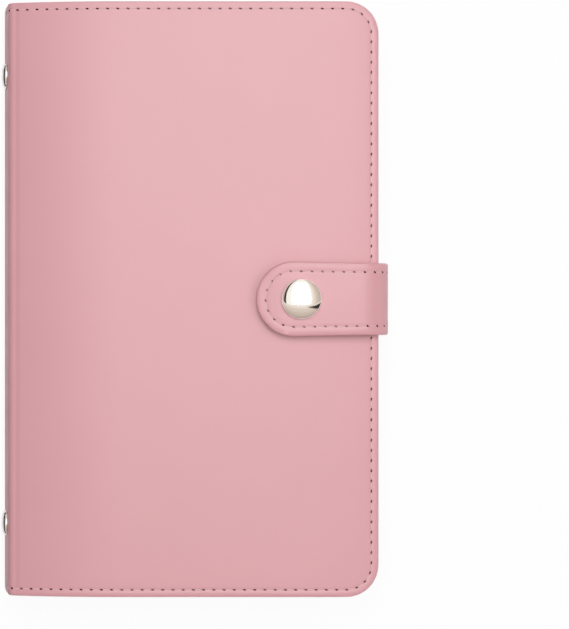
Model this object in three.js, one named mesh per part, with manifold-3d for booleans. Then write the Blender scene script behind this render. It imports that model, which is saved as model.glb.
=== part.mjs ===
// Snap-strap cash wallet: two stiffened covers, a riveted spine and a block of clear sleeves.
// Millimetres. X runs from the spine to the fore-edge, Y along the spine, Z up.
// The wallet lies closed on its back cover.
import * as THREE from 'three';
import { mergeVertices } from 'three/addons/utils/BufferGeometryUtils.js';
import Module from 'manifold-3d';

// Covers
const coverHeight = 185;
const coverWidth = 113.5;
const cornerRadius = 10;
const closedThickness = 24;
const skinThickness = 1.0;
const boardThickness = 1.2;
const liningThickness = 0.8;
const boardMargin = 4.2;
const boardClearance = 0.3;
const frontBoardFromFold = 3.5;
const backBoardFromFold = 1.5;
const layerGap = 0.02;
const cutMargin = 10;

// Shape of the front cover's section
const frontRise = 3.2;
const frontRiseLength = 33;
const foreEdgeDrop = 1.0;
const foreEdgeDropLength = 19;

// Spine
const spineLean = THREE.MathUtils.degToRad(12.2);
const spineBulge = 0.2;
const backFoldRadius = 3.6;
const frontFoldRadius = 3.0;
const spineLiningThickness = 0.8;
const hingeGap = 0.1;
const hingeLift = 0.1;

// Rivets and the binding strip inside the spine
const rivetHeadRadius = 4.0;
const rivetDomeHeight = 1.6;
const rivetShankRadius = 1.4;
const rivetPostRadius = 0.8;
const rivetBackRadius = 3.5;
const rivetBackThickness = 0.6;
const rivetFromEnd = 21.8;
const bindingStripWidth = 11;
const bindingStripLength = 172;
const bindingStripThickness = 1.0;
const seatGap = 0.1;

// Sleeve pages
const leafCount = 14;
const leafThickness = 0.55;
const pageHeight = 170;
const pageWidth = 101;
const pageCornerRadius = 8;
const pageTabThickness = 2.2;
const pageClearance = 0.3;
const leafFanLength = 6;

// Strap
const strapWidth = 23;
const strapWrapWidth = 22.2;
const strapFaceThickness = 0.9;
const strapBackingThickness = 0.9;
const strapStandOff = 1.2;
const strapOverlap = 38;
const strapAnchorLength = 36;
const strapEndLength = 11.5;
const strapLowBendRadius = 4.5;
const strapTopBendRadius = 8;
const strapGap = 2.4;

// Press snap
const snapFromForeEdge = 24;
const capRadius = 6.25;
const capHeight = 2.2;
const capPostRadius = 1.4;
const socketRadius = 5.25;
const socketMouthRadius = 3.1;
const socketCeiling = 0.35;
const studFlangeRadius = 4.75;
const studFlangeThickness = 0.5;
const studBossRadius = 2.45;
const studNeckRadius = 2.2;
const studHeight = 1.9;
const studPostRadius = 1.25;
const studRingRadius = 4.2;
const studRingThickness = 0.5;
const runningGap = 0.1;

// Sizes that follow from those above
const coverThickness = skinThickness + boardThickness + liningThickness;
const strapThickness = strapFaceThickness + strapBackingThickness;
const backLift = strapThickness + layerGap;
const frontSlope = 2 * frontRise / frontRiseLength;
const frontAngle = Math.atan(frontSlope);
const arcSteps = 8;

const wasm = await Module();
wasm.setup();

function toSolid(geometry) {
  const bare = geometry.clone();
  bare.deleteAttribute('normal');
  bare.deleteAttribute('uv');
  const merged = mergeVertices(bare, 1e-5);
  return new wasm.Manifold(new wasm.Mesh({
    numProp: 3,
    vertProperties: new Float32Array(merged.attributes.position.array),
    triVerts: new Uint32Array(merged.index.array),
  }));
}

function toGeometry(solid) {
  const mesh = solid.getMesh();
  const geometry = new THREE.BufferGeometry();
  geometry.setAttribute('position', new THREE.BufferAttribute(new Float32Array(mesh.vertProperties), 3));
  geometry.setIndex(new THREE.BufferAttribute(new Uint32Array(mesh.triVerts), 1));
  geometry.computeVertexNormals();
  return geometry;
}

// A section drawn in X and Z, pulled along Y over the given length, centred on Y = 0.
function alongY(section, length) {
  const shape = new THREE.Shape(section.map((point) => new THREE.Vector2(point.x, point.z)));
  const geometry = new THREE.ExtrudeGeometry(shape, { depth: length, bevelEnabled: false });
  geometry.rotateX(Math.PI / 2);
  geometry.translate(0, length / 2, 0);
  return toSolid(geometry);
}

// A plan outline in X and Y, pulled up from bottom to top.
function upright(shape, bottom, top) {
  const geometry = new THREE.ExtrudeGeometry(shape, {
    depth: top - bottom,
    bevelEnabled: false,
    curveSegments: arcSteps,
  });
  geometry.translate(0, 0, bottom);
  return toSolid(geometry);
}

// A turned piece: its profile is given as radius and height along the axis.
function turned(profile, sides) {
  const geometry = new THREE.LatheGeometry(profile.map(([r, h]) => new THREE.Vector2(r, h)), sides);
  geometry.rotateX(Math.PI / 2);
  return toSolid(geometry);
}

function cylinderZ(radius, bottom, top, sides) {
  return turned([[0, bottom], [radius, bottom], [radius, top], [0, top]], sides);
}

// The plan of a cover, square at the spine and rounded at the fore-edge.
function roundedPlan(left, right, height, radius) {
  const half = height / 2;
  const shape = new THREE.Shape();
  shape.moveTo(left, -half);
  shape.lineTo(right - radius, -half);
  shape.absarc(right - radius, -half + radius, radius, -Math.PI / 2, 0, false);
  shape.lineTo(right, half - radius);
  shape.absarc(right - radius, half - radius, radius, 0, Math.PI / 2, false);
  shape.lineTo(left, half);
  shape.closePath();
  return shape;
}

// A point of an outer surface line with its outward normal.
function station(x, z, nx, nz) {
  const length = Math.hypot(nx, nz);
  return { x, z, nx: nx / length, nz: nz / length };
}

function sink(point, depth) {
  return { x: point.x - point.nx * depth, z: point.z - point.nz * depth };
}

// The closed section between two depths under an outer line. A depth is a number or a function of the point.
function layer(line, outerDepth, innerDepth) {
  const at = (depth, point) => (typeof depth === 'function' ? depth(point) : depth);
  const outer = line.map((point) => sink(point, at(outerDepth, point)));
  const inner = line.map((point) => sink(point, at(innerDepth, point)));
  return outer.concat(inner.reverse());
}

function arc(cx, cz, radius, startAngle, endAngle, steps) {
  const points = [];
  for (let i = 0; i <= steps; i += 1) {
    const angle = startAngle + (endAngle - startAngle) * i / steps;
    const nx = Math.cos(angle);
    const nz = Math.sin(angle);
    points.push(station(cx + radius * nx, cz + radius * nz, nx, nz));
  }
  return points;
}

function range(start, end, steps) {
  return Array.from({ length: steps + 1 }, (_, i) => start + (end - start) * i / steps);
}

// Outer line of the spine: the back fold, the leaning wall and the front fold
const spineAcross = { x: -Math.cos(spineLean), z: Math.sin(spineLean) };
const spineUp = { x: Math.sin(spineLean), z: Math.cos(spineLean) };
const spineStart = {
  x: backFoldRadius + backFoldRadius * spineAcross.x,
  z: backFoldRadius + backFoldRadius * spineAcross.z,
};
const frontFoldTop = closedThickness - frontRise;
const foldOverWall = frontFoldRadius * (Math.cos(frontAngle) - Math.sin(spineLean));
const spineLength = (frontFoldTop - foldOverWall - spineStart.z) / spineUp.z;

function spinePoint(share) {
  const bulge = spineBulge * Math.sin(Math.PI * share) ** 2;
  const slope = spineBulge * Math.PI * Math.sin(2 * Math.PI * share) / spineLength;
  const along = spineLength * share;
  return station(
    spineStart.x + spineUp.x * along + spineAcross.x * bulge,
    spineStart.z + spineUp.z * along + spineAcross.z * bulge,
    spineAcross.x - spineUp.x * slope,
    spineAcross.z - spineUp.z * slope,
  );
}

const spineEnd = spinePoint(1);
const frontFoldCentre = {
  x: spineEnd.x - spineAcross.x * frontFoldRadius,
  z: spineEnd.z - spineAcross.z * frontFoldRadius,
};
const hingeCut = hingeGap / frontFoldRadius;
const backFoldLine = arc(backFoldRadius, backFoldRadius, backFoldRadius,
  -Math.PI / 2, -Math.PI - spineLean, arcSteps);
const wallLine = range(0, 1, 12).map(spinePoint).slice(1);
const frontFoldLine = arc(frontFoldCentre.x, frontFoldCentre.z, frontFoldRadius,
  Math.PI - spineLean, Math.PI / 2 + frontAngle + hingeCut, arcSteps).slice(1);

// Outer line of the back cover: flat, then lifted by the strap that is sewn under it
const backForeEdge = backFoldRadius + coverWidth - 2;
const liftEnd = backForeEdge - strapAnchorLength - 2;
const liftStart = liftEnd - 14;

function backPoint(x) {
  const share = THREE.MathUtils.clamp((x - liftStart) / (liftEnd - liftStart), 0, 1);
  const z = backLift * share * share * (3 - 2 * share);
  const slope = backLift * 6 * share * (1 - share) / (liftEnd - liftStart);
  return station(x, z, slope, -1);
}

const backLine = [backForeEdge, ...range(liftEnd, liftStart, 8)].map(backPoint);

// Outer line of the front cover: rising from the fold, flat, and falling a little at the fore-edge
const hingeX = frontFoldCentre.x - frontFoldRadius * Math.sin(frontAngle);
const hingeZ = frontFoldCentre.z + frontFoldRadius * Math.cos(frontAngle);
const frontForeEdge = hingeX + coverWidth;

function frontPoint(x) {
  const across = x - hingeX;
  const left = THREE.MathUtils.clamp(1 - across / frontRiseLength, 0, 1);
  const right = Math.max(0, (across - coverWidth + foreEdgeDropLength) / foreEdgeDropLength);
  const z = closedThickness - frontRise * left * left - foreEdgeDrop * right * right;
  const slope = frontSlope * left - 2 * foreEdgeDrop * right / foreEdgeDropLength;
  return station(x, z, -slope, 1);
}

const frontXs = [
  ...range(hingeX + hingeGap, hingeX + frontRiseLength, 10),
  ...range(frontForeEdge - foreEdgeDropLength, frontForeEdge, 6),
];
const frontLine = frontXs.map(frontPoint);

// Leather, board and lining of the covers
const lid = closedThickness + cutMargin;
const plans = {
  front: upright(roundedPlan(-cutMargin, frontForeEdge, coverHeight, cornerRadius), -cutMargin, lid),
  back: upright(roundedPlan(-cutMargin, backForeEdge, coverHeight, cornerRadius), -cutMargin, lid),
};

function coverPiece(line, outerDepth, innerDepth, plan) {
  return alongY(layer(line, outerDepth, innerDepth), coverHeight + 2).intersect(plan);
}

function boardPiece(line, from, to, topDepth, floorDepth, clearance) {
  const plan = roundedPlan(from + clearance, to - boardMargin - clearance,
    coverHeight - 2 * (boardMargin + clearance), cornerRadius - boardMargin);
  return alongY(layer(line, topDepth, floorDepth), coverHeight).intersect(upright(plan, -cutMargin, lid));
}

// The pocket is cut from above the lining's face, so that none of that face is left over the board
const pocketTopDepth = skinThickness;
const pocketFloorDepth = skinThickness + boardThickness;
const boardTopDepth = skinThickness + 2 * layerGap;
const boardFloorDepth = pocketFloorDepth - layerGap;

const snapX = frontForeEdge - snapFromForeEdge;
const snapHole = cylinderZ(studPostRadius + runningGap, closedThickness - 2 * coverThickness, lid, 24);
const coverHole = snapHole.translate(snapX, 0, 0);

const frontBoardStart = hingeX + frontBoardFromFold;
const frontSkin = coverPiece(frontLine, 0, skinThickness, plans.front).subtract(coverHole);
const frontPocket = boardPiece(frontLine, frontBoardStart, frontForeEdge, pocketTopDepth, pocketFloorDepth, 0);
const frontBoard = boardPiece(frontLine, frontBoardStart, frontForeEdge,
  boardTopDepth, boardFloorDepth, boardClearance).subtract(coverHole);
const frontLining = coverPiece(frontLine, skinThickness + layerGap, coverThickness, plans.front)
  .subtract(frontPocket)
  .subtract(coverHole);

// The back cover and the spine are one sheet of leather and one of lining
const outerLine = [...backLine, ...backFoldLine, ...wallLine, ...frontFoldLine];

function backLiningDepth(point) {
  const spineDepth = skinThickness + spineLiningThickness;
  const share = THREE.MathUtils.clamp(-point.nx / Math.cos(spineLean) * 1.6, 0, 1);
  const onFront = point.nz > 0;
  return onFront ? spineDepth : coverThickness + (spineDepth - coverThickness) * share;
}

const backBoardStart = backFoldRadius + backBoardFromFold;
const boardLine = [...backLine, backPoint(backFoldRadius)];
const backPocket = boardPiece(boardLine, backBoardStart, backForeEdge, pocketTopDepth, pocketFloorDepth, 0);
const backBoard = boardPiece(boardLine, backBoardStart, backForeEdge,
  boardTopDepth, boardFloorDepth, boardClearance);

// Frame of the rivets: their axis is the spine's normal at mid-height
const rivetPoint = spinePoint(0.5);
const rivetTilt = Math.atan2(rivetPoint.nx, rivetPoint.nz);
const rivetYs = [coverHeight / 2 - rivetFromEnd, rivetFromEnd - coverHeight / 2];

function onSpine(solid, y) {
  return solid
    .rotate([0, THREE.MathUtils.radToDeg(rivetTilt), 0])
    .translate(rivetPoint.x, y, rivetPoint.z);
}

const stripTopDepth = skinThickness + spineLiningThickness + layerGap;
const stripFloorDepth = stripTopDepth + bindingStripThickness;
const rivetHole = cylinderZ(rivetShankRadius + runningGap, -30, 10, 24);
const rivetHoles = rivetYs.map((y) => onSpine(rivetHole.intersect(
  cylinderZ(10, -stripFloorDepth - 2, 10, 8)), y));
const drill = (solid) => rivetHoles.reduce((body, hole) => body.subtract(hole), solid);

const backSkin = drill(coverPiece(outerLine, 0, skinThickness, plans.back));
const backLining = drill(coverPiece(outerLine, skinThickness + layerGap, backLiningDepth, plans.back)
  .subtract(backPocket));

// Binding strip, clamped to the inside of the spine by the rivets
const stripHalf = bindingStripWidth / 2 / spineLength;
const stripLine = range(0.5 - stripHalf, 0.5 + stripHalf, 8).map(spinePoint);
const bindingStrip = drill(alongY(layer(stripLine, stripTopDepth, stripFloorDepth), bindingStripLength));

// Rivets: a domed cap with a hollow shank, and a flat back with a post pressed into it
function dome(radius, height, rim, steps) {
  const points = [];
  for (let i = 0; i <= steps; i += 1) {
    const angle = Math.PI / 2 * (1 - i / steps);
    points.push([radius * Math.cos(angle), rim + (height - rim) * Math.sin(angle)]);
  }
  return points;
}

const rivetBackSeat = spineBulge * Math.sin(Math.PI * rivetBackRadius / spineLength) ** 2;
const rivetShankEnd = -stripFloorDepth - rivetBackSeat;
const rivetCap = turned([
  [0, -skinThickness],
  [rivetPostRadius + runningGap / 2, -skinThickness],
  [rivetPostRadius + runningGap / 2, rivetShankEnd],
  [rivetShankRadius, rivetShankEnd],
  [rivetShankRadius, layerGap],
  [rivetHeadRadius - 0.2, layerGap],
  ...dome(rivetHeadRadius, rivetDomeHeight, 0.35, 8).reverse(),
], 40);
const rivetBack = turned([
  [0, rivetShankEnd - layerGap - rivetBackThickness],
  [rivetBackRadius - 0.2, rivetShankEnd - layerGap - rivetBackThickness],
  [rivetBackRadius, rivetShankEnd - layerGap - rivetBackThickness / 2],
  [rivetBackRadius, rivetShankEnd - layerGap],
  [rivetPostRadius, rivetShankEnd - layerGap],
  [rivetPostRadius, -skinThickness - runningGap],
  [0, -skinThickness - runningGap],
], 32);

// Sleeve pages: film leaves welded to one tab along the spine
const tabTopDepth = stripFloorDepth + seatGap;
const tabFloorDepth = tabTopDepth + pageTabThickness;
const tabLine = range(0.04, 0.93, 10).map(spinePoint);
const tabInner = tabLine.map((point) => sink(point, tabFloorDepth));
const pageEnd = backFoldRadius + pageWidth;

function frontUnderside(x) {
  const point = frontPoint(Math.max(x, hingeX));
  return point.z - coverThickness / point.nz;
}

function backTopside(x) {
  const point = backPoint(x);
  return point.z - coverThickness / point.nz;
}

function leafLevel(x, index) {
  const bottom = backTopside(x) + pageClearance + leafThickness / 2;
  const top = frontUnderside(x) - studRingThickness - pageClearance - leafThickness / 2;
  return bottom + (top - bottom) * index / (leafCount - 1);
}

const leafXs = [
  ...range(tabInner[0].x, hingeX + frontRiseLength, 9).slice(1),
  ...range(liftStart, liftEnd, 5),
  frontForeEdge - foreEdgeDropLength,
  pageEnd + 1,
].sort((a, b) => a - b);

function leaf(index) {
  const start = tabInner[0].x + 0.2;
  const first = start + (tabInner[tabInner.length - 1].x - start) * index / (leafCount - 1);
  const lowest = tabInner[0].z + leafThickness;
  const highest = tabInner[tabInner.length - 1].z - leafThickness;
  const rootZ = lowest + (highest - lowest) * index / (leafCount - 1);
  const xs = [first - 0.8, first, ...leafXs.filter((x) => x > first + 2)];
  const middle = xs.map((x) => {
    const share = THREE.MathUtils.clamp((x - first) / leafFanLength, 0, 1);
    return { x, z: rootZ + (leafLevel(Math.max(x, first), index) - rootZ) * share };
  });
  const upper = middle.map(({ x, z }) => ({ x, z: z + leafThickness / 2 }));
  const lower = middle.map(({ x, z }) => ({ x, z: z - leafThickness / 2 }));
  return alongY(lower.concat(upper.reverse()), pageHeight + 4);
}

let pages = alongY(layer(tabLine, tabTopDepth, tabFloorDepth), pageHeight + 4);
for (let index = 0; index < leafCount; index += 1) {
  pages = pages.add(leaf(index));
}
pages = pages.intersect(upright(roundedPlan(-cutMargin, pageEnd, pageHeight, pageCornerRadius),
  -cutMargin, lid));
const rivetRecess = cylinderZ(rivetBackRadius + 0.4,
  rivetShankEnd - rivetBackThickness - 2 * seatGap, -tabTopDepth + 2, 24);
pages = rivetYs.reduce((body, y) => body.subtract(onSpine(rivetRecess, y)), pages);

// Strap: sewn under the back cover, round the fore-edge and over the front cover
const strapOuterX = frontForeEdge + strapStandOff + strapThickness;
const strapTopZ = closedThickness + strapGap + strapThickness;
const bendLow = { x: strapOuterX - strapLowBendRadius, z: strapLowBendRadius, radius: strapLowBendRadius };
const bendHigh = {
  x: strapOuterX - strapTopBendRadius,
  z: strapTopZ - strapTopBendRadius,
  radius: strapTopBendRadius,
};
const anchorStart = backForeEdge - strapAnchorLength;
const tongueEnd = frontForeEdge - strapOverlap;
const quarter = Math.PI / 4;

// Each length stops short of the middle of its bend by half the hinge gap
const mitreAngle = (bend) => hingeGap / 2 / bend.radius;
const bendArc = (bend, startAngle, endAngle, steps) => (
  arc(bend.x, bend.z, bend.radius, startAngle, endAngle, steps));
const strapLines = {
  anchor: [
    station(anchorStart, 0, 0, -1),
    ...bendArc(bendLow, -2 * quarter, -quarter - mitreAngle(bendLow), 4),
  ],
  wrap: [
    ...bendArc(bendLow, -quarter + mitreAngle(bendLow), 0, 4),
    ...bendArc(bendHigh, 0, quarter - mitreAngle(bendHigh), 5),
  ],
  tongue: [
    ...bendArc(bendHigh, quarter + mitreAngle(bendHigh), 2 * quarter, 5),
    station(tongueEnd, strapTopZ, 0, 1),
  ],
};

function tonguePlan() {
  const wide = strapWidth / 2;
  const narrow = strapWrapWidth / 2;
  const straight = tongueEnd + strapEndLength;
  const shape = new THREE.Shape();
  shape.moveTo(bendHigh.x, -narrow);
  shape.lineTo(strapOuterX + 5, -narrow);
  shape.lineTo(strapOuterX + 5, narrow);
  shape.lineTo(bendHigh.x, narrow);
  shape.lineTo(straight, wide);
  shape.absellipse(straight, 0, strapEndLength, wide, Math.PI / 2, 3 * Math.PI / 2, false);
  shape.closePath();
  return upright(shape, -cutMargin, strapTopZ + cutMargin);
}

const postHole = cylinderZ(capPostRadius + runningGap, strapTopZ - 6, strapTopZ + 4, 24).translate(snapX, 0, 0);

function strapPiece(section, outerDepth, innerDepth) {
  const solid = alongY(layer(strapLines[section], outerDepth, innerDepth), strapWrapWidth);
  if (section !== 'tongue') return solid;
  return alongY(layer(strapLines[section], outerDepth, innerDepth), strapWidth + 4)
    .intersect(tonguePlan())
    .subtract(postHole);
}

// Press snap: cap and socket on the strap, stud and its ring on the front cover
const snapFaceZ = closedThickness;
const socketTop = strapGap - layerGap;
const socketFoot = studFlangeThickness + runningGap;
const snapCap = turned([
  [0, -strapThickness - socketCeiling],
  [capPostRadius, -strapThickness - socketCeiling],
  [capPostRadius, layerGap],
  [capRadius - 0.25, layerGap],
  ...dome(capRadius, capHeight, 0.55, 12).reverse(),
], 56).translate(snapX, 0, strapTopZ);
const snapSocket = turned([
  [capPostRadius + runningGap / 2, socketTop - socketCeiling],
  [socketMouthRadius, socketTop - socketCeiling],
  [socketMouthRadius, socketFoot + 0.2],
  [socketMouthRadius + 0.2, socketFoot],
  [socketRadius - 0.3, socketFoot],
  [socketRadius, socketFoot + 0.3],
  [socketRadius, socketTop - 0.25],
  [socketRadius - 0.25, socketTop],
  [capPostRadius + runningGap / 2, socketTop],
  [capPostRadius + runningGap / 2, socketTop - socketCeiling],
], 40).translate(snapX, 0, snapFaceZ);
const snapStud = turned([
  [0, studHeight - 0.6],
  [studPostRadius + runningGap / 2, studHeight - 0.6],
  [studPostRadius + runningGap / 2, layerGap],
  [studFlangeRadius, layerGap],
  [studFlangeRadius, studFlangeThickness - 0.2],
  [studFlangeRadius - 0.25, studFlangeThickness],
  [studNeckRadius, studFlangeThickness],
  [studNeckRadius, studHeight - 0.9],
  [studBossRadius, studHeight - 0.6],
  [studBossRadius, studHeight - 0.35],
  [studNeckRadius - 0.2, studHeight],
  [0, studHeight],
], 40).translate(snapX, 0, snapFaceZ);
const ringTop = -coverThickness - layerGap;
const snapStudRing = turned([
  [0, ringTop],
  [0.75, ringTop],
  [0.75, ringTop - studRingThickness],
  [studRingRadius - 0.25, ringTop - studRingThickness],
  [studRingRadius, ringTop - 0.2],
  [studRingRadius, ringTop],
  [studPostRadius, ringTop],
  [studPostRadius, studHeight - 0.6 - runningGap],
  [0, studHeight - 0.6 - runningGap],
], 40).translate(snapX, 0, snapFaceZ);

// Scene graph
const leather = { color: 0xe3b0b6, roughness: 0.55, metalness: 0 };
const liningCloth = { color: 0xe0aab1, roughness: 0.7, metalness: 0 };
const card = { color: 0xb9a68c, roughness: 0.9, metalness: 0 };
const film = { color: 0xe6e8ea, roughness: 0.25, metalness: 0, transparent: true, opacity: 0.6 };
const nickel = { color: 0xc9c9cc, roughness: 0.15, metalness: 1 };

const wallet = new THREE.Group();
wallet.name = 'cash_wallet';

function place(name, solid, look) {
  const mesh = new THREE.Mesh(toGeometry(solid), new THREE.MeshStandardMaterial(look));
  mesh.name = name;
  wallet.add(mesh);
}

place('front_cover_leather', frontSkin, leather);
place('front_cover_board', frontBoard, card);
place('front_cover_lining', frontLining, liningCloth);
place('back_and_spine_leather', backSkin, leather);
place('back_cover_board', backBoard, card);
place('back_and_spine_lining', backLining, liningCloth);
place('binding_strip', bindingStrip, leather);
place('sleeve_pages', pages, film);
['top', 'bottom'].forEach((end, i) => {
  place(`rivet_cap_${end}`, onSpine(rivetCap, rivetYs[i]), nickel);
  place(`rivet_back_${end}`, onSpine(rivetBack, rivetYs[i]), nickel);
});
Object.keys(strapLines).forEach((section) => {
  place(`strap_${section}_face`, strapPiece(section, 0, strapFaceThickness), leather);
  place(`strap_${section}_backing`,
    strapPiece(section, strapFaceThickness + layerGap, strapThickness), liningCloth);
});
place('snap_cap', snapCap, nickel);
place('snap_socket', snapSocket, nickel);
place('snap_stud', snapStud, nickel);
place('snap_stud_ring', snapStudRing, nickel);

// The origin is under the middle of the closed wallet
const extent = new THREE.Box3().setFromObject(wallet);
const centre = extent.getCenter(new THREE.Vector3());
wallet.position.set(-centre.x, -centre.y, -extent.min.z);

// Hinge lines, in the same frame as the finished part
const outward = (bend, angle) => ({
  x: bend.x + bend.radius * Math.cos(angle),
  z: bend.z + bend.radius * Math.sin(angle),
});
const hinges = {
  front_cover: { x: hingeX - hingeLift * Math.sin(frontAngle), z: hingeZ + hingeLift * Math.cos(frontAngle) },
  strap_wrap: outward(bendLow, -quarter),
  strap_tongue: outward(bendHigh, quarter),
};
Object.values(hinges).forEach((hinge) => {
  hinge.x += wallet.position.x;
  hinge.z += wallet.position.z;
});
wallet.userData.hinges = hinges;

export default wallet;
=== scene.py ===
# Cash wallet with a snap strap: leather covers, riveted spine, film sleeves and nickel snap.
# Lengths are millimetres until a finished mesh is put into the frame, which is in metres.
import math

import bmesh
import bpy
import numpy as np
from mathutils import Matrix, Vector


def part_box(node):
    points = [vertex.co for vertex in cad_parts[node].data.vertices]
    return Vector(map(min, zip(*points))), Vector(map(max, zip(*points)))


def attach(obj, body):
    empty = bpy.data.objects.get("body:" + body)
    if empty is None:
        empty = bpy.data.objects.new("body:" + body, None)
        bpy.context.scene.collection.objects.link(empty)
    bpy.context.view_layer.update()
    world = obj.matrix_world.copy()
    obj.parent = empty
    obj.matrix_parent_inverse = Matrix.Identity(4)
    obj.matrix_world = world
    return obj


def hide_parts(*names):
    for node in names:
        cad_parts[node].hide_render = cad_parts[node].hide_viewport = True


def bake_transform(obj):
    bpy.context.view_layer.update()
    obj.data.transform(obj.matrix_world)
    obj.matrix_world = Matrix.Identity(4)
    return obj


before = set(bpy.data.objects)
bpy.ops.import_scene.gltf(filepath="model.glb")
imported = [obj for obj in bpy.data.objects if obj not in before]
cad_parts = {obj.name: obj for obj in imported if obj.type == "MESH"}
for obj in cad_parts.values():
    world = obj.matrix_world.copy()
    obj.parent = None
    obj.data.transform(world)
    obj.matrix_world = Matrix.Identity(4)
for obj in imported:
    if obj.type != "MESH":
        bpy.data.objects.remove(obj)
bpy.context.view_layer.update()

# Sizes shared with the solids
COVER_HEIGHT = 185.0
COVER_WIDTH = 113.5
CORNER_RADIUS = 10.0
CLOSED_THICKNESS = 24.0
SKIN = 1.0
BOARD = 1.2
LINING = 0.8
COVER_THICKNESS = SKIN + BOARD + LINING
BOARD_MARGIN = 4.2
FRONT_BOARD_FROM_FOLD = 3.5
BACK_BOARD_FROM_FOLD = 1.5
LAYER_GAP = 0.02
FRONT_RISE = 3.2
FRONT_RISE_LENGTH = 33.0
FORE_EDGE_DROP = 1.0
FORE_EDGE_DROP_LENGTH = 19.0
SPINE_LEAN = math.radians(12.2)
SPINE_BULGE = 0.2
SPINE_LINING = 0.8
BACK_FOLD_RADIUS = 3.6
FRONT_FOLD_RADIUS = 3.0
RIVET_FROM_END = 21.8
STRAP_WIDTH = 23.0
STRAP_WRAP_WIDTH = 22.2
STRAP_LAYER = 0.9
STRAP_THICKNESS = 2 * STRAP_LAYER
STRAP_STAND_OFF = 1.2
STRAP_OVERLAP = 38.0
STRAP_ANCHOR_LENGTH = 36.0
STRAP_END_LENGTH = 11.5
STRAP_LOW_RADIUS = 4.5
STRAP_TOP_RADIUS = 8.0
STRAP_GAP = 2.4
SNAP_FROM_FORE_EDGE = 24.0
LEAF_COUNT = 14
LEAF_THICKNESS = 0.55
PAGE_HEIGHT = 170.0
PAGE_WIDTH = 101.0
PAGE_CORNER = 8.0
PAGE_CLEARANCE = 0.3
STUD_RING_THICKNESS = 0.5
LEAF_FAN_LENGTH = 6.0
TAB_DEPTH = 5.1
TAB_ENDS = (0.04, 0.93)
BACK_COVER_SHORTER = 2.0
BACK_LIFT = STRAP_THICKNESS + LAYER_GAP
LIFT_LENGTH = 14.0
LIFT_BEFORE_STRAP = 2.0

# Stitching, from the thread's real pitch; only this model has it
STITCH_PITCH = 3.17
STITCH_INSET = 2.3
STRAP_STITCH_PITCH = 3.27
STRAP_STITCH_INSET = 2.9
THREAD_WIDTH = 0.34
THREAD_HEIGHT = 0.26
HOLE_LENGTH = 0.95
HOLE_WIDTH = 0.56
STRAP_HOLE_LENGTH = 0.84
HOLE_TURN = math.radians(-14)
STRAP_HOLE_SLANT = math.radians(42)
SEAM_DEPTH = 0.09
SEAM_WIDTH = 0.48
SEAM_STEP = 0.05
SEAM_CORNER_STEPS = 12
SEAM_SMALLEST_BEND = 0.3

# Other fine forms that only this model has: rounded edges, creases, drawn leather and welded film
LEATHER_EDGE_RADIUS = 0.45
LINING_EDGE_RADIUS = 0.4
STRAP_EDGE_RADIUS = 0.5
CREASE_SHIFT = 0.3
CREASE_WIDTH = 0.7
FRONT_CREASE_DEPTH = 0.18
BACK_CREASE_DEPTH = 0.12
RIVET_DRAW = 0.35
RIVET_DRAW_RADIUS = 4.3
RIVET_DRAW_FADE = 3.0
TIP_DROOP = 0.5
TIP_DROOP_LENGTH = 8.5
BACK_THINNING_START = 2.0
BACK_THINNING_LENGTH = 6.0
FRONT_THINNING_START = 1.5
FRONT_THINNING_LENGTH = 2.0
FAN_OFF_TAB = 0.2
LEAF_OFF_TAB = 0.25
LEAF_STAGGER = 0.12
LEAF_RIM_WIDTH = 0.2
LEAF_WELD_WIDTH = 2.4
LEAF_RIM_HALF = 0.11
LEAF_WELD_HALF = 0.2
LEAF_POCKET_HALF = 0.26

# How finely the meshes are made
CORNER_SEGMENTS = 14
SQUARE_CORNER = 0.01
STRAP_CUT_STEP = 1.5
SHEET_SMOOTH_ANGLE = math.radians(40)
METAL_SMOOTH_ANGLE = math.radians(35)

# Where the closed wallet's spine lies in the frame, in millimetres
SHIFT_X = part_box("back_and_spine_leather")[0][0] * 1000


def to_frame(point):
    """A point of the drawing in millimetres, as the frame's metres."""
    return Vector(((point[0] + SHIFT_X) / 1000, point[1] / 1000, point[2] / 1000))


def deselect():
    if bpy.context.object and bpy.context.object.mode == "EDIT":
        bpy.ops.object.mode_set(mode="OBJECT")
    bpy.ops.object.select_all(action="DESELECT")


def only(piece):
    deselect()
    piece.select_set(True)
    bpy.context.view_layer.objects.active = piece


# Outer lines: sections of the leather as points with outward normals, read by length along them
def lengths_along(points):
    """The length along a line of points, up to each of them."""
    steps = np.hypot(np.diff(points[:, 0]), np.diff(points[:, 1]))
    return np.concatenate(([0.0], np.cumsum(steps)))


class OuterLine:
    def __init__(self, points):
        self.points = np.array(points)
        self.lengths = lengths_along(self.points)
        self.total = float(self.lengths[-1])

    def at(self, length):
        """x, z and the outward normal, at a length along the line."""
        x, z, nx, nz = (np.interp(length, self.lengths, self.points[:, i]) for i in range(4))
        size = math.hypot(nx, nz)
        return x, z, nx / size, nz / size

    def place(self, length, y, height):
        """The point at a length along the line, at a y and at a height over the line."""
        x, z, nx, nz = self.at(length)
        return Vector((x + nx * height, y, z + nz * height))

    def nearest(self, x, z):
        """The length at which the line passes nearest to a point."""
        gaps = np.hypot(self.points[:, 0] - x, self.points[:, 1] - z)
        return float(self.lengths[int(np.argmin(gaps))])


def arc(cx, cz, radius, start, end, steps):
    points = []
    for angle in np.linspace(start, end, steps + 1):
        nx, nz = math.cos(angle), math.sin(angle)
        points.append((cx + radius * nx, cz + radius * nz, nx, nz))
    return points


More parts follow.
